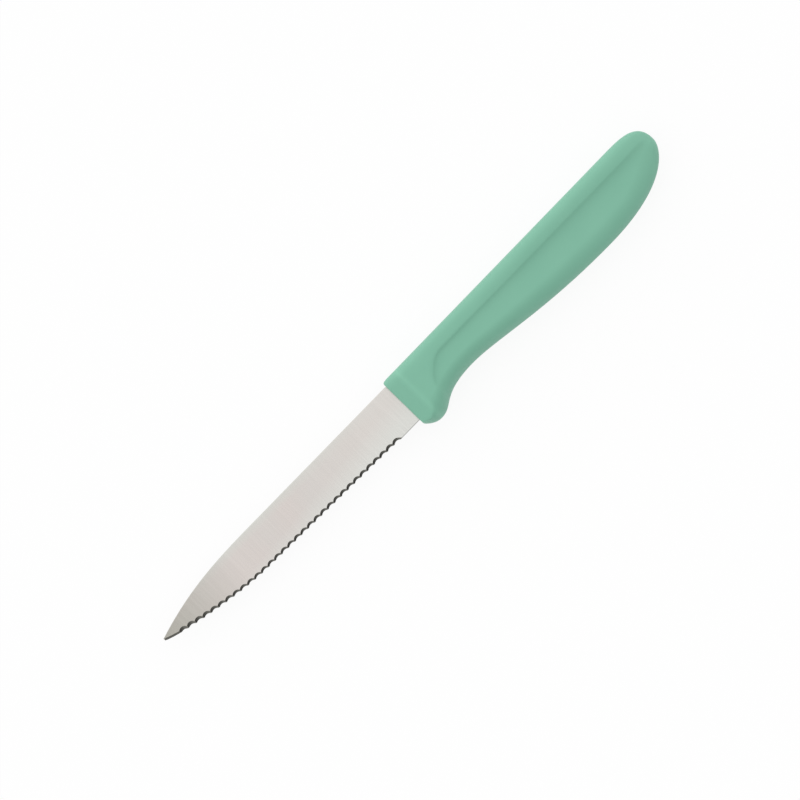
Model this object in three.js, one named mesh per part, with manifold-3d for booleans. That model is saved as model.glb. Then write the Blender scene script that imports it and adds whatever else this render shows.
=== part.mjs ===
import * as THREE from 'three';
import { mergeVertices } from 'three/addons/utils/BufferGeometryUtils.js';
import Module from 'manifold-3d';

// Serrated utility knife in millimetres, lying on its side with +Z up.
// It is drawn with x = 0 at the front of the handle, y = 0 on the blade's spine and z = 0 on the
// mid-plane. The point is towards -X, the butt towards +X, the spine towards +Y.

// Blade outline, with depths measured down from the spine
const BLADE_LENGTH = 100;
const HEEL_LENGTH = 8;
const HEEL_DEPTH = 14.23;
const POINT_DEPTH = 5.5;
const POINT_BLUNT = 0.7;
const SPINE_CURVE_LENGTH = 40;
const EDGE_CURVE_LENGTH = 36;
const HEEL_STEP = 0.1;
const TOOTH_LINE_RISE = 1.5;

// Blade thickness: sheet stock, ground flat to a taper on both sides
const STOCK = 1.2;
const HEEL_THICKNESS = 0.5;
const POINT_THICKNESS = 0.7;
const PLUNGE = 0.6;

// Teeth: scallops ground from the +Z side only, so the cutting edge lies on the -Z face
const TOOTH_COUNT = 32;
const PLAIN_POINT = 5.25;
const GULLET_DEPTH = 0.44;
const TIP_BLUNTING = 0.17;
const TOOTH_BEVEL = THREE.MathUtils.degToRad(31);
const TOOTH_LEAN = 0.15;
const POINT_BEVEL = THREE.MathUtils.degToRad(44);
const HEEL_BREAK = 0.2;

// Tang: the blade's full depth enters the handle, then steps in to a bar with locking holes
const SEAT_LENGTH = 6;
const TANG_LENGTH = 70;
const TANG_DROP = 2.6;
const TANG_DEPTH = 7.6;
const SHOULDER_RADIUS = 1.2;
const LOCK_HOLE_COUNT = 3;
const LOCK_HOLE_DIAMETER = 4.6;
const LOCK_HOLE_START = 22;
const LOCK_HOLE_PITCH = 18;
const MOULD_GAP = 0.3;

// Handle outline: nose and guard measured down from the blade's heel, the rest from its spine
const HANDLE_LENGTH = 108.5;
const BACK_COVER = 1.42;
const BACK_RISE = 0.364;
const FRONT_CORNER_LENGTH = 2;
const FRONT_CORNER_DROP = 0.55;
const NOSE_COVER = 1.62;
const GUARD_STATION = 5;
const GUARD_DROP = 4.3;
const NECK_STATION = 23;
const NECK_DEPTH = 13.71;
const SWELL_STATION = 77.35;
const SWELL_DEPTH = 18.34;
const BUTT_DEPTH = 5.49;
const BUTT_CORNER = 12.44;

// How far the outline's curves keep to their end tangents, as shares of each curve's own span
const POINT_EASE = [0.375, 0.65, 0.175];
const EDGE_EASE = [0.305, 0.884, 0.681];
const NOSE_EASE = 0.48;
const CHOIL_EASE = [0.3, 0.75];
const PALM_EASE = [0.19, 0.527];
const HEEL_OF_HAND_EASE = [0.8, 0.28];
const CORNER_EASE = [0.453, 1];

// Handle section
const HANDLE_THICKNESS = 13;
const COLLAR_THICKNESS = 7.4;
const COLLAR_LENGTH = 5;
const COLLAR_LEAN = 0.045;
const COLLAR_BLEND = 0.3;
const FRONT_FILLET = 0.4;
const BACK_ROUND = 5.2;
const BACK_ROUND_LIMIT = 0.3;
const BELLY_ROUND_SHARE = 0.31;
const BUTT_ROUND_SHARE = 0.5;
const BACK_POWER = 4.2;
const BELLY_POWER = 1.85;
const BUTT_ROUND = 20.5;
const BUTT_POWER = 2.3;

// Crease on each cheek: a proud strip along the back drops to the palm panel. It is steepest on
// the crease, and its widths above and below grow from the neck to the palm.
const CREASE_DROP = 3.88;
const CREASE_START = 9.86;
const CREASE_SWEEP_LENGTH = 9.7;
const CREASE_SWEEP_FALL = 7.45;
const CREASE_SLOPE = 0.6;
const CREASE_WIDENING = [20, 75];
const CREASE_ABOVE = [0.45, 0.8];
const CREASE_BELOW = [0.9, 1.9];
const CREASE_FADE_IN = 2.2;
const CREASE_FADE_OUT = 5;

// Facets: how finely the outlines, the teeth and the handle's sections and stations are divided
const OUTLINE_SEGMENTS = 10;
const FLUTE_SEGMENTS = 72;
const BACK_STEPS = 7;
const STRIP_STEPS = 5;
const PANEL_STEPS = 9;
const BELLY_STEPS = 8;
const CREASE_CROWDING = 1.7;
const CREASE_LOWEST_SHARE = 0.9;
const FILLET_STEPS = 4;
const COLLAR_STEPS = 4;
const RIDGE_STEPS = 7;
const RIDGE_REACH = 1.2;
const GUARD_STEPS = 3;
const SWEEP_STEPS = 10;
const PALM_STEPS = 16;
const BUTT_STEPS = 14;
const WELD = 1e-4;
const CURVE_TOLERANCE = 1e-9;

const BLADE_STEEL = new THREE.MeshStandardMaterial({ color: '#d0cec9', roughness: 0.34, metalness: 1 });
const MINT_PLASTIC = new THREE.MeshStandardMaterial({ color: '#82b9a2', roughness: 0.5, metalness: 0 });

const wasm = await Module();
wasm.setup();

function solidFrom(geometry) {
  geometry.deleteAttribute('normal');
  geometry.deleteAttribute('uv');
  const merged = mergeVertices(geometry, WELD);
  return new wasm.Manifold(new wasm.Mesh({
    numProp: 3,
    vertProperties: merged.attributes.position.array,
    triVerts: Uint32Array.from(merged.index.array),
  }));
}

function geometryFrom(solid) {
  const { vertProperties, triVerts } = solid.getMesh();
  const geometry = new THREE.BufferGeometry();
  geometry.setAttribute('position', new THREE.BufferAttribute(vertProperties, 3));
  geometry.setIndex(new THREE.BufferAttribute(triVerts, 1));
  const faceted = geometry.toNonIndexed();
  faceted.computeVertexNormals();
  return faceted;
}

function plateFrom(shape, thickness) {
  const settings = { depth: thickness, bevelEnabled: false, curveSegments: OUTLINE_SEGMENTS };
  const geometry = new THREE.ExtrudeGeometry(shape, settings);
  geometry.translate(0, 0, -thickness / 2);
  return solidFrom(geometry);
}

const lerp = THREE.MathUtils.lerp;
const smoothstep = THREE.MathUtils.smoothstep;
const point = (x, y) => new THREE.Vector2(x, y);

// Blade curves: the spine falls to the point, and the tooth line rises to meet it
const spineBend = point(SPINE_CURVE_LENGTH - BLADE_LENGTH, 0);
const spineEnd = point(-BLADE_LENGTH, POINT_BLUNT / 2 - POINT_DEPTH);
const edgeEnd = point(-BLADE_LENGTH, -POINT_BLUNT / 2 - POINT_DEPTH);
const edgeStart = point(-HEEL_LENGTH, HEEL_STEP - HEEL_DEPTH);
const edgeBend = point(EDGE_CURVE_LENGTH - BLADE_LENGTH, edgeStart.y + TOOTH_LINE_RISE);
const edgeSlope = (edgeBend.y - edgeStart.y) / (edgeBend.x - edgeStart.x);

const spineCurve = new THREE.CubicBezierCurve(
  spineBend,
  point(lerp(spineBend.x, spineEnd.x, POINT_EASE[0]), spineBend.y),
  point(lerp(spineBend.x, spineEnd.x, POINT_EASE[1]), lerp(spineBend.y, spineEnd.y, POINT_EASE[2])),
  spineEnd,
);
const edgeLead = EDGE_EASE[0] * EDGE_CURVE_LENGTH;
const edgeCurve = new THREE.CubicBezierCurve(
  edgeBend,
  point(edgeBend.x - edgeLead, edgeBend.y - edgeSlope * edgeLead),
  point(lerp(edgeBend.x, edgeEnd.x, EDGE_EASE[1]), lerp(edgeBend.y, edgeEnd.y, EDGE_EASE[2])),
  edgeEnd,
);
const toothLine = new THREE.CurvePath();
toothLine.add(new THREE.LineCurve(edgeStart, edgeBend));
toothLine.add(edgeCurve);
const toothLineLength = toothLine.getLength();
const toothedLength = toothLineLength - PLAIN_POINT;
const toothPitch = toothedLength / TOOTH_COUNT;
const firstGullet = toothLine.getPointAt(toothPitch / 2 / toothLineLength);

// Half the blade's thickness: each ground face is one plane, thinning to the edge and to the point
const edgeTaper = (STOCK - HEEL_THICKNESS) / 2 / HEEL_DEPTH;
const pointTaper = ((STOCK - POINT_THICKNESS) / 2 - edgeTaper * POINT_DEPTH) / BLADE_LENGTH;
const groundHalf = (x, y) => STOCK / 2 + edgeTaper * y + pointTaper * x;

// The tang's side of the blade, grown by a clearance where it shapes the handle's slot
function traceTang(path, grow) {
  const seat = SEAT_LENGTH + grow;
  const fillet = SHOULDER_RADIUS - grow;
  const bend = SEAT_LENGTH + SHOULDER_RADIUS;
  const high = -TANG_DROP;
  const low = -TANG_DROP - TANG_DEPTH;
  const end = TANG_LENGTH - TANG_DEPTH / 2;
  path.lineTo(seat, -HEEL_DEPTH - grow);
  path.absarc(bend, low - SHOULDER_RADIUS, fillet, Math.PI, Math.PI / 2, true);
  path.absarc(end, (high + low) / 2, TANG_DEPTH / 2 + grow, -Math.PI / 2, Math.PI / 2, false);
  path.absarc(bend, high + SHOULDER_RADIUS, fillet, -Math.PI / 2, -Math.PI, true);
  path.lineTo(seat, grow);
}

function pierceTang(shape, grow) {
  for (let i = 0; i < LOCK_HOLE_COUNT; i += 1) {
    const hole = new THREE.Path();
    const x = LOCK_HOLE_START + i * LOCK_HOLE_PITCH;
    hole.absarc(x, -TANG_DROP - TANG_DEPTH / 2, LOCK_HOLE_DIAMETER / 2 - grow, 0, 2 * Math.PI, true);
    shape.holes.push(hole);
  }
}

function bladeBlank() {
  const shape = new THREE.Shape();
  shape.moveTo(firstGullet.x, -HEEL_DEPTH);
  traceTang(shape, 0);
  shape.lineTo(spineBend.x, spineBend.y);
  shape.bezierCurveTo(...spineCurve.v1, ...spineCurve.v2, ...spineCurve.v3);
  for (const at of edgeCurve.getPoints(OUTLINE_SEGMENTS).reverse()) {
    shape.lineTo(at.x, at.y);
  }
  shape.lineTo(firstGullet.x, firstGullet.y);
  pierceTang(shape, 0);
  return plateFrom(shape, STOCK);
}

// What the flat grind takes off one side: a slab whose inner face lies on the ground plane
function flatGrind(side) {
  const margin = STOCK;
  const length = BLADE_LENGTH + margin - PLUNGE;
  const depth = HEEL_DEPTH + 2 * margin;
  const slab = new THREE.BoxGeometry(length, depth, STOCK);
  slab.translate(-PLUNGE - length / 2, margin - depth / 2, side * STOCK);
  const corners = slab.attributes.position;
  for (let i = 0; i < corners.count; i += 1) {
    if (Math.abs(corners.getZ(i)) < STOCK) {
      corners.setZ(i, side * groundHalf(corners.getX(i), corners.getY(i)));
    }
  }
  return solidFrom(slab);
}

// Axes of one grind on the edge: along the edge, up the bevel, and square out of the bevel
function bevelFrame(tangent, angle) {
  const along = new THREE.Vector3(tangent.x, tangent.y, 0);
  const outward = new THREE.Vector3(-tangent.y, tangent.x, 0);
  const up = new THREE.Vector3(0, 0, Math.sin(angle));
  up.addScaledVector(outward, -Math.cos(angle));
  const out = new THREE.Vector3(0, 0, Math.cos(angle));
  out.addScaledVector(outward, Math.sin(angle));
  return { along, outward, up, out };
}

function placed(geometry, { along, up }, at) {
  const frame = new THREE.Matrix4().makeBasis(along, up, along.clone().cross(up));
  return solidFrom(geometry.applyMatrix4(frame.setPosition(at)));
}

// One scallop: a round wheel run up the bevel, with its lowest line at the bottom of the gullet.
// It leans towards the point, and its neighbour meets it just outside the blank, so tips stay blunt.
function scallop(centre, tangent) {
  const frame = bevelFrame(tangent, TOOTH_BEVEL);
  const sag = (GULLET_DEPTH + TIP_BLUNTING) * Math.sin(TOOTH_BEVEL);
  const radius = (toothPitch * toothPitch / 4 + sag * sag) / (2 * sag);
  const at = new THREE.Vector3(centre.x, centre.y, 0).addScaledVector(frame.outward, -GULLET_DEPTH);
  at.z = -groundHalf(at.x, at.y);
  at.addScaledVector(frame.out, radius);
  frame.up.addScaledVector(frame.along, TOOTH_LEAN * Math.cos(TOOTH_BEVEL));
  return placed(new THREE.CylinderGeometry(radius, radius, 4 * radius, FLUTE_SEGMENTS), frame, at);
}

// A straight bevel between two points of the edge, through a given height on the blade's section
function straightBevel(from, to, angle, height) {
  const tangent = to.clone().sub(from).normalize();
  const frame = bevelFrame(tangent, angle);
  const middle = from.clone().add(to).divideScalar(2);
  const at = new THREE.Vector3(middle.x, middle.y, height(middle.x, middle.y));
  const reach = HEEL_DEPTH / 2;
  at.addScaledVector(frame.out, reach / 2);
  return placed(new THREE.BoxGeometry(from.distanceTo(to), reach, reach), frame, at);
}

function edgeGrinds() {
  const grinds = [];
  for (let i = 0; i < TOOTH_COUNT; i += 1) {
    const share = (i + 0.5) * toothPitch / toothLineLength;
    grinds.push(scallop(toothLine.getPointAt(share), toothLine.getTangentAt(share)));
  }
  const lower = (x, y) => -groundHalf(x, y);
  const plainStart = toothLine.getPointAt(toothedLength / toothLineLength);
  const pastPoint = edgeEnd.clone().add(edgeEnd.clone().sub(plainStart).setLength(PLAIN_POINT));
  grinds.push(straightBevel(plainStart, pastPoint, POINT_BEVEL, lower));
  const broken = HEEL_BREAK - HEEL_DEPTH;
  grinds.push(straightBevel(point(-PLUNGE, broken), point(-HEEL_LENGTH, broken), TOOTH_BEVEL, groundHalf));
  return grinds;
}

function makeBlade() {
  let blade = bladeBlank();
  for (const cut of [flatGrind(1), flatGrind(-1), ...edgeGrinds()]) {
    blade = blade.subtract(cut);
  }
  return geometryFrom(blade);
}

// Handle outline: the back runs almost parallel to the spine, the belly swells to guard and palm
const backEnd = point(HANDLE_LENGTH - BUTT_CORNER, BACK_COVER + BACK_RISE);
const butt = point(HANDLE_LENGTH, -BUTT_DEPTH);
const nose = point(0, -HEEL_DEPTH - NOSE_COVER);
const guard = point(GUARD_STATION, -HEEL_DEPTH - GUARD_DROP);
const neck = point(NECK_STATION, -NECK_DEPTH);
const swell = point(SWELL_STATION, -SWELL_DEPTH);

// A curve that leaves and arrives level
function levelCurve(from, to, ease) {
  const span = to.x - from.x;
  const lead = point(from.x + ease[0] * span, from.y);
  const trail = point(to.x - ease[1] * span, to.y);
  return new THREE.CubicBezierCurve(from, lead, trail, to);
}

// A curve that leaves level and arrives upright at the butt
function endCurve(from, to, ease) {
  const lead = point(lerp(from.x, to.x, ease[0]), from.y);
  const trail = point(to.x, lerp(to.y, from.y, ease[1]));
  return new THREE.CubicBezierCurve(from, lead, trail, to);
}

const belly = [
  new THREE.QuadraticBezierCurve(nose, point(NOSE_EASE * GUARD_STATION, guard.y), guard),
  levelCurve(guard, neck, CHOIL_EASE),
  levelCurve(neck, swell, PALM_EASE),
  endCurve(swell, butt, HEEL_OF_HAND_EASE),
];
const back = [
  new THREE.LineCurve(point(0, BACK_COVER), backEnd),
  endCurve(backEnd, butt, CORNER_EASE),
];

function heightAt(curves, x) {
  const curve = curves.find((part) => x <= part.getPoint(1).x) ?? curves.at(-1);
  let low = 0;
  let high = 1;
  while (high - low > CURVE_TOLERANCE) {
    const middle = (low + high) / 2;
    if (curve.getPoint(middle).x < x) {
      low = middle;
    } else {
      high = middle;
    }
  }
  return curve.getPoint(low).y;
}

const superellipse = (share, power) => (1 - share ** power) ** (1 / power);

// How much the front fillet draws the outline in
function filletInset(x) {
  const reach = Math.max(FRONT_FILLET - x, 0);
  return FRONT_FILLET - Math.sqrt(FRONT_FILLET ** 2 - reach ** 2);
}

// How much the back is rounded down to the front
function cornerDrop(x) {
  const reach = Math.max(1 - x / FRONT_CORNER_LENGTH, 0);
  return FRONT_CORNER_DROP * (1 - Math.sqrt(1 - reach * reach));
}

// Half the handle's thickness: parallel cheeks and a rounded butt
function cheekHalf(x) {
  const round = Math.max(x - (HANDLE_LENGTH - BUTT_ROUND), 0) / BUTT_ROUND;
  return HANDLE_THICKNESS / 2 * superellipse(Math.min(round, 1), BUTT_POWER);
}

// The collar's tapered plane, which is cut into the front of each cheek
function collarHalf(x, y) {
  const taper = (HANDLE_THICKNESS - COLLAR_THICKNESS) / 2 / COLLAR_LENGTH;
  return COLLAR_THICKNESS / 2 + taper * x + COLLAR_LEAN * y - filletInset(x);
}

function blendedLeast(first, second, blend) {
  const overlap = Math.max(blend - Math.abs(first - second), 0);
  return Math.min(first, second) - overlap * overlap / (4 * blend);
}

// The crease's height, and the slope of its sweep up from the guard
function creaseAt(x) {
  const ahead = CREASE_START + CREASE_SWEEP_LENGTH - x;
  const share = THREE.MathUtils.clamp(ahead / CREASE_SWEEP_LENGTH, 0, 1);
  const slope = 2 * CREASE_SWEEP_FALL * share / CREASE_SWEEP_LENGTH;
  return { y: -CREASE_DROP - CREASE_SWEEP_FALL * share * share, slope };
}

// How far the cheek drops towards the palm panel
function panelDrop(x, y) {
  const crease = creaseAt(x);
  const below = (crease.y - y) / Math.hypot(1, crease.slope);
  const widening = smoothstep(x, ...CREASE_WIDENING);
  const aboveWidth = lerp(...CREASE_ABOVE, widening);
  const belowWidth = lerp(...CREASE_BELOW, widening);
  const upper = aboveWidth * Math.exp(Math.min(below, 0) / aboveWidth);
  const lower = belowWidth * (1 - Math.exp(-Math.max(below, 0) / belowWidth));
  const fadeIn = smoothstep(x, CREASE_START, CREASE_START + CREASE_FADE_IN);
  const fadeOut = 1 - smoothstep(x, HANDLE_LENGTH - CREASE_FADE_OUT, HANDLE_LENGTH);
  return CREASE_SLOPE * (upper + lower) * fadeIn * fadeOut;
}

// One cheek's section from the back to the belly, as pairs of y and z
function cheekSection(x) {
  const inset = filletInset(x);
  const top = heightAt(back, x) - inset - cornerDrop(x);
  const bottom = heightAt(belly, x) + inset;
  const backRound = Math.min(BACK_ROUND, BACK_ROUND_LIMIT * (top - bottom));
  const towardsButt = smoothstep(x, HANDLE_LENGTH - BUTT_ROUND, HANDLE_LENGTH);
  const bellyRound = lerp(BELLY_ROUND_SHARE, BUTT_ROUND_SHARE, towardsButt) * (top - bottom);
  const flatTop = top - backRound;
  const flatBottom = bottom + bellyRound;
  const lowest = lerp(flatTop, flatBottom, CREASE_LOWEST_SHARE);
  const crease = THREE.MathUtils.clamp(creaseAt(x).y, lowest, flatTop);
  const half = cheekHalf(x);
  const section = [];
  const add = (y, share, collarShare) => {
    const cheek = half * share * (1 - panelDrop(x, y) / (HANDLE_THICKNESS / 2));
    section.push([y, blendedLeast(cheek, collarHalf(x, y) * collarShare, COLLAR_BLEND)]);
  };
  for (let i = 0; i < BACK_STEPS; i += 1) {
    const turn = Math.PI / 2 * (1 - i / BACK_STEPS);
    const lift = Math.sin(turn) ** (2 / BACK_POWER);
    const share = superellipse(lift, BACK_POWER);
    add(flatTop + backRound * lift, share, share);
  }
  for (let i = 0; i < STRIP_STEPS; i += 1) {
    const share = (1 - i / STRIP_STEPS) ** CREASE_CROWDING;
    add(lerp(crease, flatTop, share), 1, 1);
  }
  for (let i = 0; i < PANEL_STEPS; i += 1) {
    add(lerp(crease, flatBottom, (i / PANEL_STEPS) ** CREASE_CROWDING), 1, 1);
  }
  for (let i = 0; i <= BELLY_STEPS; i += 1) {
    const turn = Math.PI / 2 * i / BELLY_STEPS;
    const fall = Math.sin(turn) ** (2 / BELLY_POWER);
    add(flatBottom - bellyRound * fall, superellipse(fall, BELLY_POWER), 1);
  }
  return section;
}

// Stations along the handle, closer where the form turns quickly
function handleStations() {
  const parallelEnd = HANDLE_LENGTH - BUTT_ROUND;
  const sweepEnd = CREASE_START + CREASE_SWEEP_LENGTH;
  const runs = [
    { from: FRONT_FILLET, to: COLLAR_LENGTH - RIDGE_REACH, steps: COLLAR_STEPS },
    { from: COLLAR_LENGTH - RIDGE_REACH, to: COLLAR_LENGTH + RIDGE_REACH, steps: RIDGE_STEPS },
    { from: COLLAR_LENGTH + RIDGE_REACH, to: CREASE_START, steps: GUARD_STEPS },
    { from: CREASE_START, to: sweepEnd, steps: SWEEP_STEPS },
    { from: sweepEnd, to: parallelEnd, steps: PALM_STEPS },
  ];
  const stations = [];
  for (let i = 0; i < FILLET_STEPS; i += 1) {
    stations.push(FRONT_FILLET * (1 - Math.cos(Math.PI / 2 * i / FILLET_STEPS)));
  }
  for (const { from, to, steps } of runs) {
    for (let i = 0; i < steps; i += 1) {
      stations.push(lerp(from, to, i / steps));
    }
  }
  for (let i = 0; i < BUTT_STEPS; i += 1) {
    stations.push(parallelEnd + BUTT_ROUND * Math.sin(Math.PI / 2 * i / BUTT_STEPS));
  }
  return stations;
}

function handleForm() {
  const positions = [];
  const indices = [];
  const stations = handleStations();
  let ring = 0;
  for (const x of stations) {
    const section = cheekSection(x);
    const otherCheek = section.slice(1, -1).reverse().map(([y, z]) => [y, -z]);
    const loop = [...section, ...otherCheek];
    ring = loop.length;
    loop.forEach(([y, z]) => positions.push(x, y, z));
  }
  for (let i = 0; i < stations.length - 1; i += 1) {
    for (let j = 0; j < ring; j += 1) {
      const next = (j + 1) % ring;
      const here = i * ring;
      indices.push(here + j, here + next, here + ring + j);
      indices.push(here + next, here + ring + next, here + ring + j);
    }
  }
  const last = (stations.length - 1) * ring;
  const front = positions.length / 3;
  const end = front + 1;
  positions.push(0, nose.y / 2, 0);
  positions.push(butt.x, butt.y, 0);
  for (let j = 0; j < ring; j += 1) {
    const next = (j + 1) % ring;
    indices.push(front, next, j);
    indices.push(last + j, last + next, end);
  }
  const geometry = new THREE.BufferGeometry();
  geometry.setAttribute('position', new THREE.Float32BufferAttribute(positions, 3));
  geometry.setIndex(indices);
  return solidFrom(geometry);
}

// The space the steel takes in the moulding, with the lock holes left as posts
function tangSlot() {
  const shape = new THREE.Shape();
  shape.moveTo(-FRONT_FILLET, -HEEL_DEPTH - MOULD_GAP);
  traceTang(shape, MOULD_GAP);
  shape.lineTo(-FRONT_FILLET, MOULD_GAP);
  pierceTang(shape, MOULD_GAP);
  return plateFrom(shape, STOCK + 2 * MOULD_GAP);
}

function makeHandle() {
  return geometryFrom(handleForm().subtract(tangSlot()));
}

const blade = new THREE.Mesh(makeBlade(), BLADE_STEEL);
blade.name = 'blade';

const handle = new THREE.Mesh(makeHandle(), MINT_PLASTIC);
handle.name = 'handle';

// The knife rests on one cheek, with its origin under the middle of its box
const knife = new THREE.Group();
knife.add(blade, handle);
const extent = new THREE.Box3().setFromObject(knife);
const centre = extent.getCenter(new THREE.Vector3());
knife.position.set(-centre.x, -centre.y, -extent.min.z);

export default knife;
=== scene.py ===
import bisect
import math

import bmesh
import bpy
from mathutils import Matrix, Vector
from mathutils.geometry import interpolate_bezier


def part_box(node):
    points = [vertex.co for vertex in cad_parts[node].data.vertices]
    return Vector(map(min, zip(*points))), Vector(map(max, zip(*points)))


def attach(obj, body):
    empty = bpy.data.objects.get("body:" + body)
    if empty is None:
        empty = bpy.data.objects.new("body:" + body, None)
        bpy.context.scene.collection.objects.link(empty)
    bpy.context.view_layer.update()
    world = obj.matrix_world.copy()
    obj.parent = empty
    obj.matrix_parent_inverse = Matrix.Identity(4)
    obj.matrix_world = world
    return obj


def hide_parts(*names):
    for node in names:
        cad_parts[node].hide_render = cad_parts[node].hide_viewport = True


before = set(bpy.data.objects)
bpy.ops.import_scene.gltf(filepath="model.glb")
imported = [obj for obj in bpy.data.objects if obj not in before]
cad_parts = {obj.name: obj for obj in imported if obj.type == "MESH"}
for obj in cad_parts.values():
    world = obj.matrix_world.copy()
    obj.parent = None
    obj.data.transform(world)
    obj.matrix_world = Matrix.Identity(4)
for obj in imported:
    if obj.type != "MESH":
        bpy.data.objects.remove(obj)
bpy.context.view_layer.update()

# Blade: stainless sheet, stamped to its outline and ground flat on both sides so that it thins to
# the edge and the point. A wheel run across the upper side leaves the scalloped teeth. Behind the
# heel it goes on as a bar with locking holes, which the handle is moulded round.

# Sizes are in millimetres from the front of the handle, the blade's spine and the mid-plane
MM = 0.001
BLADE_LENGTH = 100
HEEL_LENGTH = 8
HEEL_DEPTH = 14.23
POINT_DEPTH = 5.5
POINT_BLUNT = 0.7
SPINE_CURVE_LENGTH = 40
SPINE_EASE = (0.375, 0.65, 0.175)
EDGE_CURVE_LENGTH = 36
EDGE_EASE = (0.305, 0.884, 0.681)
HEEL_STEP = 0.1
TOOTH_LINE_RISE = 1.5

STOCK = 1.2
HEEL_THICKNESS = 0.5
POINT_THICKNESS = 0.7
GRIND_RUN_OUT = (0.2, 1.2)
SPINE_ROUND = 0.13

TOOTH_COUNT = 32
TOOTH_STEPS = 24
PLAIN_POINT = 5.25
PLAIN_STEPS = 14
GULLET_DEPTH = 0.44
LAST_GULLET_RISE = 0.13
TIP_BLUNTING = 0.17
TOOTH_BEVEL = math.radians(31)
TOOTH_LEAN = 0.15
POINT_BEVEL = math.radians(44)
HEEL_BREAK = 0.2
HEEL_RUN_OUT = 0.6
HEEL_RUN_OUT_STEPS = 12
HEEL_STATIONS = (-7, -5, -3, -1, 0, 0.2, 0.4, 0.7, 1, 1.2, 3)

SEAT_LENGTH = 6
TANG_LENGTH = 70
TANG_DROP = 2.6
TANG_DEPTH = 7.6
TANG_END_TURN = math.radians(86)
TANG_END_STEPS = 12
SHOULDER_RADIUS = 1.2
SHOULDER_DRAFT = 0.05
SHOULDER_STEPS = 6
LOCK_HOLES = (22, 40, 58)
LOCK_HOLE_RADIUS = 2.3
LOCK_HOLE_SIDES = 48

CURVE_POINTS = 400
WELD = 0.0002
SHARP = math.radians(20)

handle_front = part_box("handle")[0].x
blade_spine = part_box("blade")[1].y
mid_plane = sum(corner.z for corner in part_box("handle")) / 2


def place(x, y, z):
    return Vector((handle_front + x * MM, blade_spine + y * MM, mid_plane + z * MM))


def lerp(start, end, share):
    return start + (end - start) * share


def smoothstep(value, start, end):
    share = min(max((value - start) / (end - start), 0), 1)
    return share * share * (3 - 2 * share)


def height_at(line, x):
    after = min(max(bisect.bisect_left(line, x, key=lambda at: at.x), 1), len(line) - 1)
    low, high = line[after - 1], line[after]
    return lerp(low.y, high.y, (x - low.x) / (high.x - low.x))


spine_bend = Vector((SPINE_CURVE_LENGTH - BLADE_LENGTH, 0))
spine_end = Vector((-BLADE_LENGTH, POINT_BLUNT / 2 - POINT_DEPTH))
spine_line = [Vector((SEAT_LENGTH, 0))] + interpolate_bezier(
    spine_bend,
    Vector((lerp(spine_bend.x, spine_end.x, SPINE_EASE[0]), 0)),
    Vector((lerp(spine_bend.x, spine_end.x, SPINE_EASE[1]), spine_end.y * SPINE_EASE[2])),
    spine_end,
    CURVE_POINTS,
)
spine_line.reverse()

edge_start = Vector((-HEEL_LENGTH, HEEL_STEP - HEEL_DEPTH))
edge_bend = Vector((EDGE_CURVE_LENGTH - BLADE_LENGTH, edge_start.y + TOOTH_LINE_RISE))
edge_end = Vector((-BLADE_LENGTH, -POINT_BLUNT / 2 - POINT_DEPTH))
edge_slope = (edge_bend - edge_start) / (edge_start.x - edge_bend.x)
tooth_line = [edge_start] + interpolate_bezier(
    edge_bend,
    edge_bend + edge_slope * EDGE_EASE[0] * EDGE_CURVE_LENGTH,
    Vector((lerp(edge_bend.x, edge_end.x, EDGE_EASE[1]), lerp(edge_bend.y, edge_end.y, EDGE_EASE[2]))),
    edge_end,
    CURVE_POINTS,
)
tooth_run = [0]
for here, ahead in zip(tooth_line, tooth_line[1:]):
    tooth_run.append(tooth_run[-1] + (ahead - here).length)

toothed = tooth_run[-1] - PLAIN_POINT
pitch = toothed / TOOTH_COUNT
scallop_sag = (GULLET_DEPTH + TIP_BLUNTING) * math.sin(TOOTH_BEVEL)
wheel_radius = (pitch * pitch / 4 + scallop_sag * scallop_sag) / (2 * scallop_sag)
edge_taper = (STOCK - HEEL_THICKNESS) / 2 / HEEL_DEPTH
point_taper = ((STOCK - POINT_THICKNESS) / 2 - edge_taper * POINT_DEPTH) / BLADE_LENGTH


def half_thickness(at):
    ground = STOCK / 2 + edge_taper * at.y + point_taper * at.x
    return lerp(ground, STOCK / 2, smoothstep(at.x, *GRIND_RUN_OUT))


# The height of the heel's square edge, from the lower face up to its broken corner
def heel_wall(at):
    return 2 * half_thickness(at) - HEEL_BREAK * math.tan(TOOTH_BEVEL)


# Where the blade is cut across at a distance along its tooth line: the edge, the way up the bevel
# from it, the spine, how far up from the lower face the bevel starts, and the bevel's steepness.
# The scallop next to the point is shallower than the others.
def edge_cut(distance):
    after = min(max(bisect.bisect_left(tooth_run, distance), 1), len(tooth_run) - 1)
    low, high = tooth_line[after - 1], tooth_line[after]
    along = (high - low).normalized()
    inward = Vector((along.y, -along.x))
    at = low + along * (distance - tooth_run[after - 1])
    spine = Vector((at.x, height_at(spine_line, at.x)))
    if distance > toothed:
        return at, inward, spine, 0, math.tan(POINT_BEVEL)
    tooth = min(int(distance / pitch), TOOTH_COUNT - 1)
    aside = abs(distance - (tooth + 0.5) * pitch)
    rise = wheel_radius - math.sqrt(wheel_radius ** 2 - aside ** 2)
    depth = GULLET_DEPTH - rise / math.sin(TOOTH_BEVEL)
    if tooth == TOOTH_COUNT - 1:
        depth -= LAST_GULLET_RISE
    steepness = math.tan(TOOTH_BEVEL)
    blank = -HEEL_DEPTH - at.y if distance < pitch / 2 else 0
    edge = at + inward * max(depth, blank)
    wall = min(max(blank - depth, 0) * steepness, heel_wall(edge))
    return edge, inward + along * TOOTH_LEAN, spine, wall, steepness


# The same for the plain heel, at a station
def heel_cut(x):
    edge = Vector((x, -HEEL_DEPTH))
    return edge, Vector((0, 1)), Vector((x, 0)), heel_wall(edge), math.tan(TOOTH_BEVEL)


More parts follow.
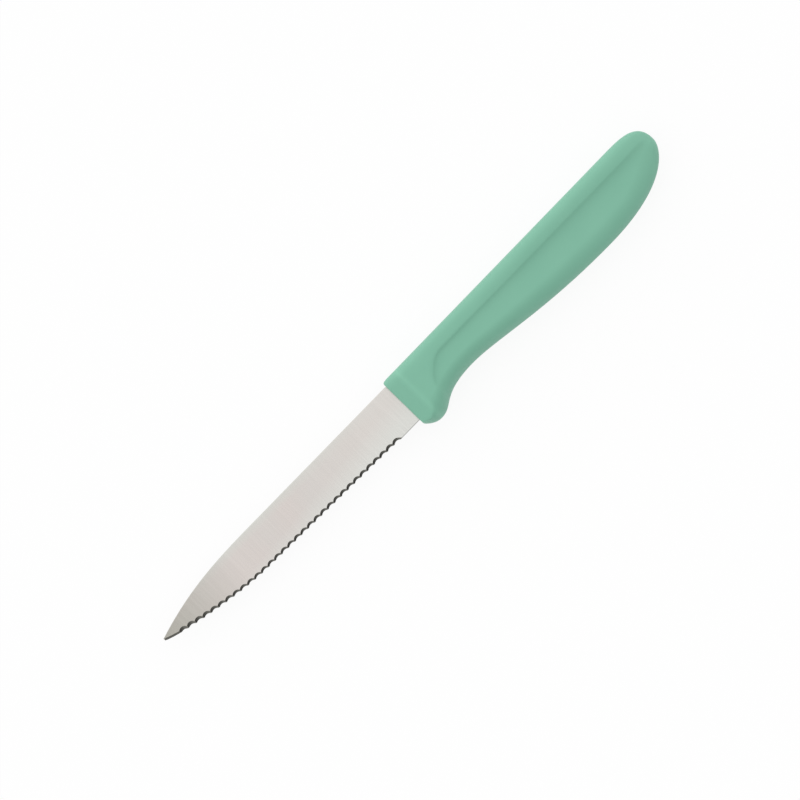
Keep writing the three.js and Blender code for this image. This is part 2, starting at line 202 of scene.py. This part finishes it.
# The same for the bar, which is square: its wall is the full thickness and leaves no bevel
def bar_cut(x, low, high):
    edge = Vector((x, low))
    return edge, Vector((0, 1)), Vector((x, high)), 2 * half_thickness(edge), 1


blade_cuts = []
for step in range(PLAIN_STEPS):
    blade_cuts.append(edge_cut(lerp(tooth_run[-1], toothed, step / PLAIN_STEPS)))
for step in range(TOOTH_COUNT * TOOTH_STEPS):
    blade_cuts.append(edge_cut(lerp(toothed, 0, step / (TOOTH_COUNT * TOOTH_STEPS))))
for step in range(HEEL_RUN_OUT_STEPS):
    blade_cuts.append(edge_cut(-HEEL_RUN_OUT * step / HEEL_RUN_OUT_STEPS))
for x in (*HEEL_STATIONS, SEAT_LENGTH - SHOULDER_DRAFT):
    blade_cuts.append(heel_cut(x))
tang_low = -TANG_DROP - TANG_DEPTH
for step in range(SHOULDER_STEPS + 1):
    turn = math.pi / 2 * step / SHOULDER_STEPS
    fillet = SHOULDER_RADIUS * (1 - math.sin(turn))
    x = SEAT_LENGTH + SHOULDER_RADIUS * (1 - math.cos(turn))
    blade_cuts.append(bar_cut(x, tang_low - fillet, fillet - TANG_DROP))
tang_middle = -TANG_DROP - TANG_DEPTH / 2
for step in range(TANG_END_STEPS + 1):
    turn = TANG_END_TURN * step / TANG_END_STEPS
    x = TANG_LENGTH - TANG_DEPTH / 2 * (1 - math.sin(turn))
    reach = TANG_DEPTH / 2 * math.cos(turn)
    blade_cuts.append(bar_cut(x, tang_middle - reach, tang_middle + reach))

FACE_SHARES = (0, 0.25, 0.5, 0.75, 0.97, 1)
ROUND_STEPS = 4
BEVEL_ROWS = 2


# The outline of one cut: up the lower face from the edge, over the rounded corners of the spine,
# and down the upper face and the bevel
def blade_section(edge, inward, spine, wall, steepness):
    span = spine - edge
    shoulder = spine - span.normalized() * SPINE_ROUND
    foot = half_thickness(edge)
    head = half_thickness(shoulder)
    rise = steepness - edge_taper * inward.y - point_taper * inward.x
    run = min((2 * foot - wall) / rise, span.length - 2 * SPINE_ROUND)
    crest = edge + inward * run
    crest_height = wall - foot + run * steepness
    points = []
    for share in FACE_SHARES:
        points.append((*edge.lerp(shoulder, share), lerp(-foot, -head, share)))
    arc = []
    for step in range(1, ROUND_STEPS + 1):
        turn = math.pi / 2 * step / ROUND_STEPS
        arc.append((*shoulder.lerp(spine, math.sin(turn)), head - SPINE_ROUND * (1 - math.cos(turn))))
    points += [(x, y, -z) for x, y, z in arc]
    points += arc[::-1]
    for share in reversed(FACE_SHARES):
        points.append((*crest.lerp(shoulder, share), lerp(crest_height, head, share)))
    for row in range(1, BEVEL_ROWS + 1):
        share = row / BEVEL_ROWS
        points.append((*crest.lerp(edge, share), lerp(crest_height, wall - foot, share)))
    points.append((*edge, -foot))
    return points


# A sheet with a column for each section and a row for each of its points, shaped to them
def shaped_sheet(sections):
    columns, rows = len(sections) - 1, len(sections[0]) - 1
    bm = bmesh.new()
    bmesh.ops.create_grid(bm, x_segments=columns, y_segments=rows, size=0.5)
    row_layer = bm.faces.layers.int.new("row")
    for face in bm.faces:
        face[row_layer] = int((face.calc_center_median().y + 0.5) * rows)
    for vert in bm.verts:
        section = sections[round((vert.co.x + 0.5) * columns)]
        vert.co = place(*section[round((vert.co.y + 0.5) * rows)])
    bmesh.ops.remove_doubles(bm, verts=bm.verts, dist=WELD * MM)
    return bm


def close_ends(bm):
    bmesh.ops.dissolve_degenerate(bm, edges=bm.edges, dist=WELD * MM)
    bmesh.ops.holes_fill(bm, edges=[edge for edge in bm.edges if edge.is_boundary], sides=0)
    bmesh.ops.recalc_face_normals(bm, faces=bm.faces)


def piece_from(bm, name, *materials):
    mesh = bpy.data.meshes.new(name)
    for material in materials:
        mesh.materials.append(material)
    bm.to_mesh(mesh)
    bm.free()
    piece = bpy.data.objects.new(name, mesh)
    bpy.context.scene.collection.objects.link(piece)
    return piece


def cut_away(piece, tool):
    cut = piece.modifiers.new("cut", "BOOLEAN")
    cut.operation = "DIFFERENCE"
    cut.solver = "MANIFOLD"
    cut.object = tool
    whole = piece.evaluated_get(bpy.context.evaluated_depsgraph_get())
    piece.data = bpy.data.meshes.new_from_object(whole)
    piece.data.name = piece.name
    piece.modifiers.clear()


def shade(piece):
    piece.data.shade_smooth()
    piece.data.set_sharp_from_angle(angle=SHARP)


# An sRGB hex colour in linear light
def linear(code):
    shares = [int(code[at:at + 2], 16) / 255 for at in (1, 3, 5)]
    return [s / 12.92 if s <= 0.04045 else ((s + 0.055) / 1.055) ** 2.4 for s in shares] + [1]


# A node with its settings, and with a value or a link on each socket
def add(tree, kind, sockets, **settings):
    made = tree.nodes.new(kind)
    for name, value in settings.items():
        setattr(made, name, value)
    for name, value in sockets.items():
        if isinstance(value, bpy.types.NodeSocket):
            tree.links.new(value, made.inputs[name])
        else:
            made.inputs[name].default_value = value
    return made


# A Mix node's colour sockets go by number, because its other sockets have the same names
MIX_A = 6
MIX_B = 7
MIXED = 2

# Satin stainless steel: a belt run from spine to edge leaves fine lines across the blade, so light
# spreads along it and no clear reflection shows. The middle is a little warmer than the spine and the
# pale edge side, and this evens out towards the heel. Over the point the steel is painted darker, a
# painted shade where its reflection falls off. The lines show most there and along the edge.
# Real lines are about 0.05 mm apart, and are drawn wider here so that they show.
GRIND_LINE = 0.45
GRIND_LENGTH = 25
LINE_CONTRAST = (0.35, 0.65)
LINE_HEIGHT = 0.02
LINE_RELIEF = 0.1
FAINT_LINES = 0.55
SATIN_PATCH = 16
SATIN_ROUGHNESS = (0.18, 0.28)
SPINE_STRIP = 3
WARM_HEIGHT = -4.2
PALE_HEIGHT = -11
PALE_SLANT = -0.08
HEEL_FADE_LENGTH = 45
PAINTED_SHADE_LENGTH = 31

WARM_STEEL = "#ddd2cd"
PLAIN_STEEL = "#d8d5d1"
SPINE_STEEL = "#d9d9d3"
HEEL_STEEL = "#dedad5"
EDGE_STEEL = "#e1e1dc"
PAINTED_SHADE_POINT_STEEL = "#b3b1a8"
LINE_SHADE = "#f9f9f9"

satin_steel = bpy.data.materials.new("satin_stainless_steel")
satin_steel.use_nodes = True
tree = satin_steel.node_tree
coordinates = add(tree, "ShaderNodeTexCoord", {}).outputs["Object"]
across = (1 / (GRIND_LINE * MM), 1 / (GRIND_LENGTH * MM), 1 / (GRIND_LINE * MM))
stretched = add(tree, "ShaderNodeMapping", {"Vector": coordinates, "Scale": across})
lines = add(tree, "ShaderNodeTexNoise", {"Vector": stretched.outputs["Vector"], "Scale": 1, "Detail": 3})
crisp = add(tree, "ShaderNodeMapRange", {
    "Value": lines.outputs["Fac"], "From Min": LINE_CONTRAST[0], "From Max": LINE_CONTRAST[1],
})
patches = add(tree, "ShaderNodeTexNoise", {
    "Vector": coordinates, "Scale": 1 / (SATIN_PATCH * MM), "Detail": 1,
})
slant = Vector((PALE_SLANT, 1, 0))
slanted = add(tree, "ShaderNodeVectorMath", {0: coordinates, 1: slant}, operation="DOT_PRODUCT")
warm_height = place(0, WARM_HEIGHT, 0).dot(slant)
near_edge = add(tree, "ShaderNodeMapRange", {
    "Value": slanted.outputs["Value"],
    "From Min": warm_height,
    "From Max": warm_height + (PALE_HEIGHT - WARM_HEIGHT) * MM,
})
place_on_blade = add(tree, "ShaderNodeSeparateXYZ", {"Vector": coordinates})
near_spine = add(tree, "ShaderNodeMapRange", {
    "Value": place_on_blade.outputs["Y"],
    "From Min": blade_spine - SPINE_STRIP * MM,
    "From Max": blade_spine,
})
near_heel = add(tree, "ShaderNodeMapRange", {
    "Value": place_on_blade.outputs["X"],
    "From Min": handle_front - HEEL_FADE_LENGTH * MM,
    "From Max": handle_front,
})
point_x = place(-BLADE_LENGTH, 0, 0).x
off_point = add(tree, "ShaderNodeMapRange", {
    "Value": place_on_blade.outputs["X"],
    "From Min": point_x,
    "From Max": point_x + PAINTED_SHADE_LENGTH * MM,
})
tint = add(tree, "ShaderNodeMix", {
    "Factor": patches.outputs["Fac"], MIX_A: linear(WARM_STEEL), MIX_B: linear(PLAIN_STEEL),
}, data_type="RGBA")
backed = add(tree, "ShaderNodeMix", {
    "Factor": near_spine.outputs["Result"], MIX_A: tint.outputs[MIXED], MIX_B: linear(SPINE_STEEL),
}, data_type="RGBA")
heeled = add(tree, "ShaderNodeMix", {
    "Factor": near_heel.outputs["Result"], MIX_A: backed.outputs[MIXED], MIX_B: linear(HEEL_STEEL),
}, data_type="RGBA")
paled = add(tree, "ShaderNodeMix", {
    "Factor": near_edge.outputs["Result"], MIX_A: heeled.outputs[MIXED], MIX_B: linear(EDGE_STEEL),
}, data_type="RGBA")
# Painted shade: the steel's colour darkens towards the point
toned = add(tree, "ShaderNodeMix", {
    "Factor": off_point.outputs["Result"], MIX_A: linear(PAINTED_SHADE_POINT_STEEL), MIX_B: paled.outputs[MIXED],
}, data_type="RGBA")
on_point = add(tree, "ShaderNodeMath", {0: 1, 1: off_point.outputs["Result"]}, operation="SUBTRACT")
bared = add(tree, "ShaderNodeMath", {
    0: near_edge.outputs["Result"], 1: on_point.outputs[0],
}, operation="MAXIMUM")
line_weight = add(tree, "ShaderNodeMapRange", {
    "Value": bared.outputs[0], "To Min": FAINT_LINES, "To Max": 1,
})
line_share = add(tree, "ShaderNodeMath", {
    0: crisp.outputs["Result"], 1: line_weight.outputs["Result"],
}, operation="MULTIPLY")
lined = add(tree, "ShaderNodeMix", {
    "Factor": line_share.outputs[0], MIX_A: toned.outputs[MIXED], MIX_B: linear(LINE_SHADE),
}, data_type="RGBA", blend_type="MULTIPLY")
gloss = add(tree, "ShaderNodeMapRange", {
    "Value": lines.outputs["Fac"], "To Min": SATIN_ROUGHNESS[0], "To Max": SATIN_ROUGHNESS[1],
})
relief = add(tree, "ShaderNodeBump", {
    "Height": lines.outputs["Fac"], "Strength": LINE_RELIEF, "Distance": LINE_HEIGHT * MM,
})
shader = tree.nodes["Principled BSDF"]
shader.inputs["Metallic"].default_value = 1
tree.links.new(lined.outputs[MIXED], shader.inputs["Base Color"])
tree.links.new(gloss.outputs["Result"], shader.inputs["Roughness"])
tree.links.new(relief.outputs["Normal"], shader.inputs["Normal"])

# Coarse-ground steel of the teeth: the wheel leaves deeper scratches up the bevel. The bevel's colour is
# painted much darker than the satin faces, a painted shade for its darker reflections. The flank of
# each scallop that faces the handle is painted darkest and the other flank lighter, chosen by which way
# it faces: painted shade and painted light. The plain point is painted evenly dark, a painted shade.
WHEEL_SCRATCH = 0.12
SCRATCH_LENGTH = 1.2
SCRATCH_HEIGHT = 0.02
SCRATCH_RELIEF = 0.2
TOOTH_ROUGHNESS = 0.32
FLANK_TURN = 0.35
POINT_BLEND = 1

PAINTED_LIT_FLANK = "#a8a79f"
PAINTED_SHADED_FLANK = "#262523"
PAINTED_SHADED_POINT = "#8b8a83"
SCRATCHED_STEEL = "#565551"

tooth_steel = bpy.data.materials.new("wheel_ground_steel")
tooth_steel.use_nodes = True
tree = tooth_steel.node_tree
texture = add(tree, "ShaderNodeTexCoord", {})
up_bevel = (1 / (WHEEL_SCRATCH * MM), 1 / (SCRATCH_LENGTH * MM), 1 / (SCRATCH_LENGTH * MM))
stretched = add(tree, "ShaderNodeMapping", {"Vector": texture.outputs["Object"], "Scale": up_bevel})
scratches = add(tree, "ShaderNodeTexNoise", {
    "Vector": stretched.outputs["Vector"], "Scale": 1, "Detail": 2,
})
# Painted light and shade: each flank's colour follows which way its normal faces along the blade
facing = add(tree, "ShaderNodeSeparateXYZ", {"Vector": texture.outputs["Normal"]}).outputs["X"]
flank = add(tree, "ShaderNodeMapRange", {
    "Value": facing, "From Min": -FLANK_TURN, "From Max": FLANK_TURN,
})
along = add(tree, "ShaderNodeSeparateXYZ", {"Vector": texture.outputs["Object"]}).outputs["X"]
off_point = add(tree, "ShaderNodeMapRange", {
    "Value": along,
    "From Min": point_x + (PLAIN_POINT - POINT_BLEND) * MM,
    "From Max": point_x + PLAIN_POINT * MM,
})
painted_lit_flank_tone = add(tree, "ShaderNodeMix", {
    "Factor": off_point.outputs["Result"], MIX_A: linear(PAINTED_SHADED_POINT), MIX_B: linear(PAINTED_LIT_FLANK),
}, data_type="RGBA")
shaded = add(tree, "ShaderNodeMix", {
    "Factor": flank.outputs["Result"], MIX_A: painted_lit_flank_tone.outputs[MIXED], MIX_B: linear(PAINTED_SHADED_FLANK),
}, data_type="RGBA")
toned = add(tree, "ShaderNodeMix", {
    "Factor": scratches.outputs["Fac"], MIX_A: linear(SCRATCHED_STEEL), MIX_B: shaded.outputs[MIXED],
}, data_type="RGBA")
relief = add(tree, "ShaderNodeBump", {
    "Height": scratches.outputs["Fac"], "Strength": SCRATCH_RELIEF, "Distance": SCRATCH_HEIGHT * MM,
})
shader = tree.nodes["Principled BSDF"]
shader.inputs["Metallic"].default_value = 1
shader.inputs["Roughness"].default_value = TOOTH_ROUGHNESS
tree.links.new(toned.outputs[MIXED], shader.inputs["Base Color"])
tree.links.new(relief.outputs["Normal"], shader.inputs["Normal"])

# The wheel's finish is on the bevel's rows, from the point to where the teeth run out on the heel
bm = shaped_sheet([blade_section(*cut) for cut in blade_cuts])
bevel_row = 2 * len(FACE_SHARES) + 2 * ROUND_STEPS - 1
teeth_end = place(HEEL_RUN_OUT - HEEL_LENGTH, 0, 0).x
row_layer = bm.faces.layers.int["row"]
for face in bm.faces:
    on_bevel = bevel_row <= face[row_layer] < bevel_row + BEVEL_ROWS
    face.material_index = int(on_bevel and face.calc_center_median().x < teeth_end)
close_ends(bm)
blade = piece_from(bm, "scalloped_blade", satin_steel, tooth_steel)

# The locking holes are punched through the bar
bm = bmesh.new()
for x in LOCK_HOLES:
    bmesh.ops.create_cone(
        bm, cap_ends=True, segments=LOCK_HOLE_SIDES,
        radius1=LOCK_HOLE_RADIUS * MM, radius2=LOCK_HOLE_RADIUS * MM, depth=2 * STOCK * MM,
        matrix=Matrix.Translation(place(x, tang_middle, 0)),
    )
punch = piece_from(bm, "hole_punch")
cut_away(blade, punch)
bpy.data.objects.remove(punch)

shade(blade)
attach(blade, "root")
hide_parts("blade")

# Handle: one injection moulding of mint-green plastic, shot round the blade's heel and bar, with a
# tapered collar, a finger guard, a sculpted crease along each cheek and a palm swell. The mould's
# halves meet on the mid-plane and leave a fine line all the way round.
HANDLE_LENGTH = 108.5
BACK_COVER = 1.42
BACK_RISE = 0.36
FRONT_CORNER_LENGTH = 2
FRONT_CORNER_DROP = 0.55
NOSE_COVER = 1.62
NOSE_EASE = 0.48
GUARD_STATION = 5
GUARD_DROP = 4.297
CHOIL_EASE = (0.3, 0.75)
NECK_STATION = 23
NECK_DEPTH = 13.71
PALM_EASE = (0.19, 0.527)
SWELL_STATION = 77.35
SWELL_DEPTH = 18.34
HEEL_OF_HAND_EASE = (0.8, 0.28)
BUTT_DEPTH = 5.49
BUTT_CORNER = 12.44
CORNER_EASE = (0.453, 1)

HANDLE_THICKNESS = 13
COLLAR_THICKNESS = 7.4
COLLAR_LENGTH = 5
COLLAR_LEAN = 0.045
COLLAR_BLEND = 0.3
FRONT_FILLET = 0.4
BACK_ROUND = 5.2
BACK_ROUND_LIMIT = 0.3
BACK_POWER = 4.2
BELLY_ROUND_SHARE = 0.31
BUTT_ROUND_SHARE = 0.5
BELLY_POWER = 1.85
BUTT_ROUND = 20.5
BUTT_POWER = 2.3

# The parting line, and the shares of half the thickness that limit it where the butt closes
SEAM_PROUD = 0.05
SEAM_PROUD_LIMIT = 0.01
SEAM_HALF_WIDTH = 0.09
SEAM_WIDTH_LIMIT = 0.02

CREASE_DROP = 3.88
CREASE_START = 9.86
CREASE_SWEEP_LENGTH = 9.7
CREASE_SWEEP_FALL = 7.45
CREASE_SLOPE = 0.6
CREASE_WIDENING = (20, 75)
CREASE_ABOVE = (0.45, 0.8)
CREASE_BELOW = (0.9, 1.9)
CREASE_FADE_IN = 2.2
CREASE_FADE_OUT = 5

nose = Vector((0, -HEEL_DEPTH - NOSE_COVER))
guard = Vector((GUARD_STATION, -HEEL_DEPTH - GUARD_DROP))
neck = Vector((NECK_STATION, -NECK_DEPTH))
swell = Vector((SWELL_STATION, -SWELL_DEPTH))
butt = Vector((HANDLE_LENGTH, -BUTT_DEPTH))
back_end = Vector((HANDLE_LENGTH - BUTT_CORNER, BACK_COVER + BACK_RISE))


# A curve that leaves and arrives level
def level_curve(start, end, ease):
    lead = Vector((lerp(start.x, end.x, ease[0]), start.y))
    trail = Vector((lerp(end.x, start.x, ease[1]), end.y))
    return interpolate_bezier(start, lead, trail, end, CURVE_POINTS)


# A curve that leaves level and arrives upright at the butt
def end_curve(start, end, ease):
    lead = Vector((lerp(start.x, end.x, ease[0]), start.y))
    trail = Vector((end.x, lerp(end.y, start.y, ease[1])))
    return interpolate_bezier(start, lead, trail, end, CURVE_POINTS)


# One point pulls the nose round, and the curve's handles reach two thirds of the way to it
nose_pull = Vector((NOSE_EASE * GUARD_STATION, guard.y))
belly_line = interpolate_bezier(
    nose, nose.lerp(nose_pull, 2 / 3), guard.lerp(nose_pull, 2 / 3), guard, CURVE_POINTS,
)
belly_line += level_curve(guard, neck, CHOIL_EASE)[1:]
belly_line += level_curve(neck, swell, PALM_EASE)[1:]
belly_line += end_curve(swell, butt, HEEL_OF_HAND_EASE)[1:]
back_line = [Vector((0, BACK_COVER))] + end_curve(back_end, butt, CORNER_EASE)


# How far the front's fillet draws the outline in
def front_inset(x):
    reach = max(FRONT_FILLET - x, 0)
    return FRONT_FILLET - math.sqrt(FRONT_FILLET ** 2 - reach ** 2)


# How far the back is rounded down to the front
def corner_drop(x):
    reach = max(1 - x / FRONT_CORNER_LENGTH, 0)
    return FRONT_CORNER_DROP * (1 - math.sqrt(1 - reach ** 2))


# Half the handle's thickness: parallel cheeks and a rounded butt
def cheek_half(x):
    turn = min(max(x - HANDLE_LENGTH + BUTT_ROUND, 0) / BUTT_ROUND, 1)
    return HANDLE_THICKNESS / 2 * (1 - turn ** BUTT_POWER) ** (1 / BUTT_POWER)


# The collar's tapered plane, which cuts the front of each cheek
def collar_half(x, y):
    taper = (HANDLE_THICKNESS - COLLAR_THICKNESS) / 2 / COLLAR_LENGTH
    return COLLAR_THICKNESS / 2 + taper * x + COLLAR_LEAN * y - front_inset(x)


def blended_least(first, second, blend):
    overlap = max(blend - abs(first - second), 0)
    return min(first, second) - overlap ** 2 / (4 * blend)


# How far the cheek drops: steepest on the crease, easing off above it and more slowly below
def panel_drop(x, y):
    sweep = min(max((CREASE_START + CREASE_SWEEP_LENGTH - x) / CREASE_SWEEP_LENGTH, 0), 1)
    slope = 2 * CREASE_SWEEP_FALL * sweep / CREASE_SWEEP_LENGTH
    below = (-CREASE_DROP - CREASE_SWEEP_FALL * sweep ** 2 - y) / math.hypot(1, slope)
    widening = smoothstep(x, *CREASE_WIDENING)
    above_width = lerp(*CREASE_ABOVE, widening)
    below_width = lerp(*CREASE_BELOW, widening)
    drop = above_width * math.exp(min(below, 0) / above_width)
    drop += below_width * (1 - math.exp(-max(below, 0) / below_width))
    fade_in = smoothstep(x, CREASE_START, CREASE_START + CREASE_FADE_IN)
    fade_out = 1 - smoothstep(x, HANDLE_LENGTH - CREASE_FADE_OUT, HANDLE_LENGTH)
    return CREASE_SLOPE * drop * fade_in * fade_out


ROUND_ROWS = 16
FLAT_ROWS = 60
ROUND_CROWDING = 1.5


# One cheek from the parting line on the back to the parting line on the belly
def cheek_section(x):
    inset = front_inset(x)
    top = height_at(back_line, x) - inset - corner_drop(x)
    bottom = height_at(belly_line, x) + inset
    half = cheek_half(x)
    back_round = min(BACK_ROUND, BACK_ROUND_LIMIT * (top - bottom))
    towards_butt = smoothstep(x, HANDLE_LENGTH - BUTT_ROUND, HANDLE_LENGTH)
    belly_round = lerp(BELLY_ROUND_SHARE, BUTT_ROUND_SHARE, towards_butt) * (top - bottom)
    turns = [math.pi / 2 * (1 - (row / ROUND_ROWS) ** ROUND_CROWDING) for row in range(1, ROUND_ROWS)]
    spots = []
    for turn in turns:
        lift = back_round * math.sin(turn) ** (2 / BACK_POWER)
        share = math.cos(turn) ** (2 / BACK_POWER)
        spots.append((top - back_round + lift, share, share))
    for row in range(FLAT_ROWS + 1):
        spots.append((lerp(top - back_round, bottom + belly_round, row / FLAT_ROWS), 1, 1))
    for turn in reversed(turns):
        fall = belly_round * math.sin(turn) ** (2 / BELLY_POWER)
        spots.append((bottom + belly_round - fall, math.cos(turn) ** (2 / BELLY_POWER), 1))
    seam = min(SEAM_PROUD, SEAM_PROUD_LIMIT * half)
    seam_half = min(SEAM_HALF_WIDTH, SEAM_WIDTH_LIMIT * half)
    points = [(x, top, 0), (x, top - seam, seam_half)]
    for y, share, collar_share in spots:
        cheek = half * share * (1 - panel_drop(x, y) / (HANDLE_THICKNESS / 2))
        z = max(blended_least(cheek, collar_half(x, y) * collar_share, COLLAR_BLEND), seam_half)
        points.append((x, min(max(y, bottom + seam), top - seam), z))
    return points + [(x, bottom + seam, seam_half), (x, bottom, 0)]


FILLET_COLUMNS = 8
GUARD_COLUMNS = 110
PALM_COLUMNS = 110
BUTT_COLUMNS = 48

sweep_end = CREASE_START + CREASE_SWEEP_LENGTH
butt_start = HANDLE_LENGTH - BUTT_ROUND
stations = []
for step in range(FILLET_COLUMNS):
    stations.append(FRONT_FILLET * (1 - math.cos(math.pi / 2 * step / FILLET_COLUMNS)))
for step in range(GUARD_COLUMNS):
    stations.append(lerp(FRONT_FILLET, sweep_end, step / GUARD_COLUMNS))
for step in range(PALM_COLUMNS):
    stations.append(lerp(sweep_end, butt_start, step / PALM_COLUMNS))
for step in range(BUTT_COLUMNS + 1):
    stations.append(butt_start + BUTT_ROUND * math.sin(math.pi / 2 * step / BUTT_COLUMNS))

# Moulded polypropylene: the mould's spark-eroded walls leave a fine even grain, which spreads the
# light to a soft sheen on the rounds. A lighter band along the ridge behind the collar is a painted
# sheen.
# The real grain is about 0.05 mm, drawn wider so that it shows.
GRAIN = 0.35
GRAIN_HEIGHT = 0.03
GRAIN_RELIEF = 0.12
COLOUR_PATCH = 9
PAINTED_SHEEN_STATION = 5.25
PAINTED_SHEEN_HALF_WIDTH = 1.4
PLASTIC_ROUGHNESS = (0.42, 0.54)
PLASTIC_IOR = 1.49

DEEP_MINT = "#78b49b"
PALE_MINT = "#7db89f"
PAINTED_SHEEN_MINT = "#85c2a8"

mint_plastic = bpy.data.materials.new("moulded_mint_polypropylene")
mint_plastic.use_nodes = True
tree = mint_plastic.node_tree
coordinates = add(tree, "ShaderNodeTexCoord", {}).outputs["Object"]
grain = add(tree, "ShaderNodeTexNoise", {"Vector": coordinates, "Scale": 1 / (GRAIN * MM), "Detail": 2})
patches = add(tree, "ShaderNodeTexNoise", {
    "Vector": coordinates, "Scale": 1 / (COLOUR_PATCH * MM), "Detail": 2,
})
toned = add(tree, "ShaderNodeMix", {
    "Factor": patches.outputs["Fac"], MIX_A: linear(DEEP_MINT), MIX_B: linear(PALE_MINT),
}, data_type="RGBA")
along = add(tree, "ShaderNodeSeparateXYZ", {"Vector": coordinates}).outputs["X"]
# Painted sheen: a lighter band across the ridge behind the collar
over_ridge = add(tree, "ShaderNodeMapRange", {
    "Value": along,
    "From Min": place(PAINTED_SHEEN_STATION - PAINTED_SHEEN_HALF_WIDTH, 0, 0).x,
    "From Max": place(PAINTED_SHEEN_STATION + PAINTED_SHEEN_HALF_WIDTH, 0, 0).x,
})
painted_sheen_share = add(tree, "ShaderNodeMath", {0: over_ridge.outputs["Result"], 1: 0.5}, operation="PINGPONG")
sheen_painted_mint = add(tree, "ShaderNodeMix", {
    "Factor": painted_sheen_share.outputs[0], MIX_A: toned.outputs[MIXED], MIX_B: linear(PAINTED_SHEEN_MINT),
}, data_type="RGBA")
gloss = add(tree, "ShaderNodeMapRange", {
    "Value": patches.outputs["Fac"], "To Min": PLASTIC_ROUGHNESS[0], "To Max": PLASTIC_ROUGHNESS[1],
})
relief = add(tree, "ShaderNodeBump", {
    "Height": grain.outputs["Fac"], "Strength": GRAIN_RELIEF, "Distance": GRAIN_HEIGHT * MM,
})
shader = tree.nodes["Principled BSDF"]
shader.inputs["IOR"].default_value = PLASTIC_IOR
tree.links.new(sheen_painted_mint.outputs[MIXED], shader.inputs["Base Color"])
tree.links.new(gloss.outputs["Result"], shader.inputs["Roughness"])
tree.links.new(relief.outputs["Normal"], shader.inputs["Normal"])

# The two cheeks join on the parting line, and the plastic fits the steel, also in the locking holes
bm = shaped_sheet([cheek_section(x) for x in stations])
bmesh.ops.mirror(
    bm, geom=[*bm.verts, *bm.edges, *bm.faces], matrix=Matrix.Translation((0, 0, -mid_plane)),
    merge_dist=WELD * MM, axis="Z",
)
bmesh.ops.remove_doubles(bm, verts=bm.verts, dist=WELD * MM)
close_ends(bm)
handle = piece_from(bm, "moulded_handle", mint_plastic)
cut_away(handle, blade)

shade(handle)
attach(handle, "root")
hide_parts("handle")

# Setting: the knife lies on a white sheet in a tent of white cloth, which is lit a little more from
# the spine's side. The camera looks straight down, as the photograph does.
FLOOR_HALF = 3000
FLOOR_GLOW = 0.9
PAPER = "#f8f8f8"
WHITE = "#ffffff"

white_sheet = bpy.data.materials.new("white_paper_sheet")
white_sheet.use_nodes = True
tree = white_sheet.node_tree
tree.nodes.remove(tree.nodes["Principled BSDF"])
paper = add(tree, "ShaderNodeBsdfDiffuse", {"Color": linear(PAPER)})
glow = add(tree, "ShaderNodeEmission", {"Color": linear(WHITE), "Strength": 1})
rays = add(tree, "ShaderNodeLightPath", {})
seen = add(tree, "ShaderNodeMath", {
    0: rays.outputs["Is Camera Ray"], 1: rays.outputs["Is Glossy Ray"],
}, operation="MAXIMUM")
share = add(tree, "ShaderNodeMath", {0: seen.outputs[0], 1: FLOOR_GLOW}, operation="MULTIPLY")
mixed = add(tree, "ShaderNodeMixShader", {0: share.outputs[0], 1: paper.outputs[0], 2: glow.outputs[0]})
tree.links.new(mixed.outputs[0], tree.nodes["Material Output"].inputs["Surface"])

bm = bmesh.new()
bmesh.ops.create_grid(bm, x_segments=1, y_segments=1, size=FLOOR_HALF * MM)
floor = piece_from(bm, "white_sheet", white_sheet)

# The tent's level is 1 on average. Reflections see no side of it brighter than white, so a limit
# above its brightest side comes down to 1 for them. The camera sees it as white.
TENT_TILT = (0, 0.56, 0)
TENT_LIMIT = 2

tent = bpy.data.worlds.new("white_tent")
tent.use_nodes = True
tree = tent.node_tree
direction = add(tree, "ShaderNodeTexCoord", {}).outputs["Generated"]
tilt = add(tree, "ShaderNodeVectorMath", {0: direction, 1: TENT_TILT}, operation="DOT_PRODUCT")
level = add(tree, "ShaderNodeMath", {0: tilt.outputs["Value"], 1: 1}, operation="ADD")
rays = add(tree, "ShaderNodeLightPath", {})
limit = add(tree, "ShaderNodeMath", {
    0: TENT_LIMIT, 1: rays.outputs["Is Glossy Ray"],
}, operation="SUBTRACT")
mirrored = add(tree, "ShaderNodeMath", {
    0: level.outputs[0], 1: limit.outputs[0],
}, operation="MINIMUM")
shown = add(tree, "ShaderNodeMath", {
    0: mirrored.outputs[0], 1: rays.outputs["Is Camera Ray"],
}, operation="MAXIMUM")
tree.links.new(shown.outputs[0], tree.nodes["Background"].inputs["Strength"])
tree.nodes["Background"].inputs["Color"].default_value = linear(WHITE)
bpy.context.scene.world = tent

# The photograph's scale in millimetres a pixel, its turn, and the place on the knife at its centre
PHOTO_SCALE = 0.29788
PHOTO_PIXELS = 800
PHOTO_TURN = math.radians(-45.7146)
PHOTO_CENTRE = (0.105, -5.874)
CAMERA_HEIGHT = 1200

camera = bpy.data.objects.new("camera", bpy.data.cameras.new("camera"))
camera.data.lens = camera.data.sensor_width * CAMERA_HEIGHT / (PHOTO_SCALE * PHOTO_PIXELS)
camera.location = place(*PHOTO_CENTRE, CAMERA_HEIGHT)
camera.rotation_euler = (0, 0, PHOTO_TURN)
bpy.context.scene.collection.objects.link(camera)
bpy.context.scene.camera = camera
bpy.context.scene.view_settings.view_transform = "Standard"
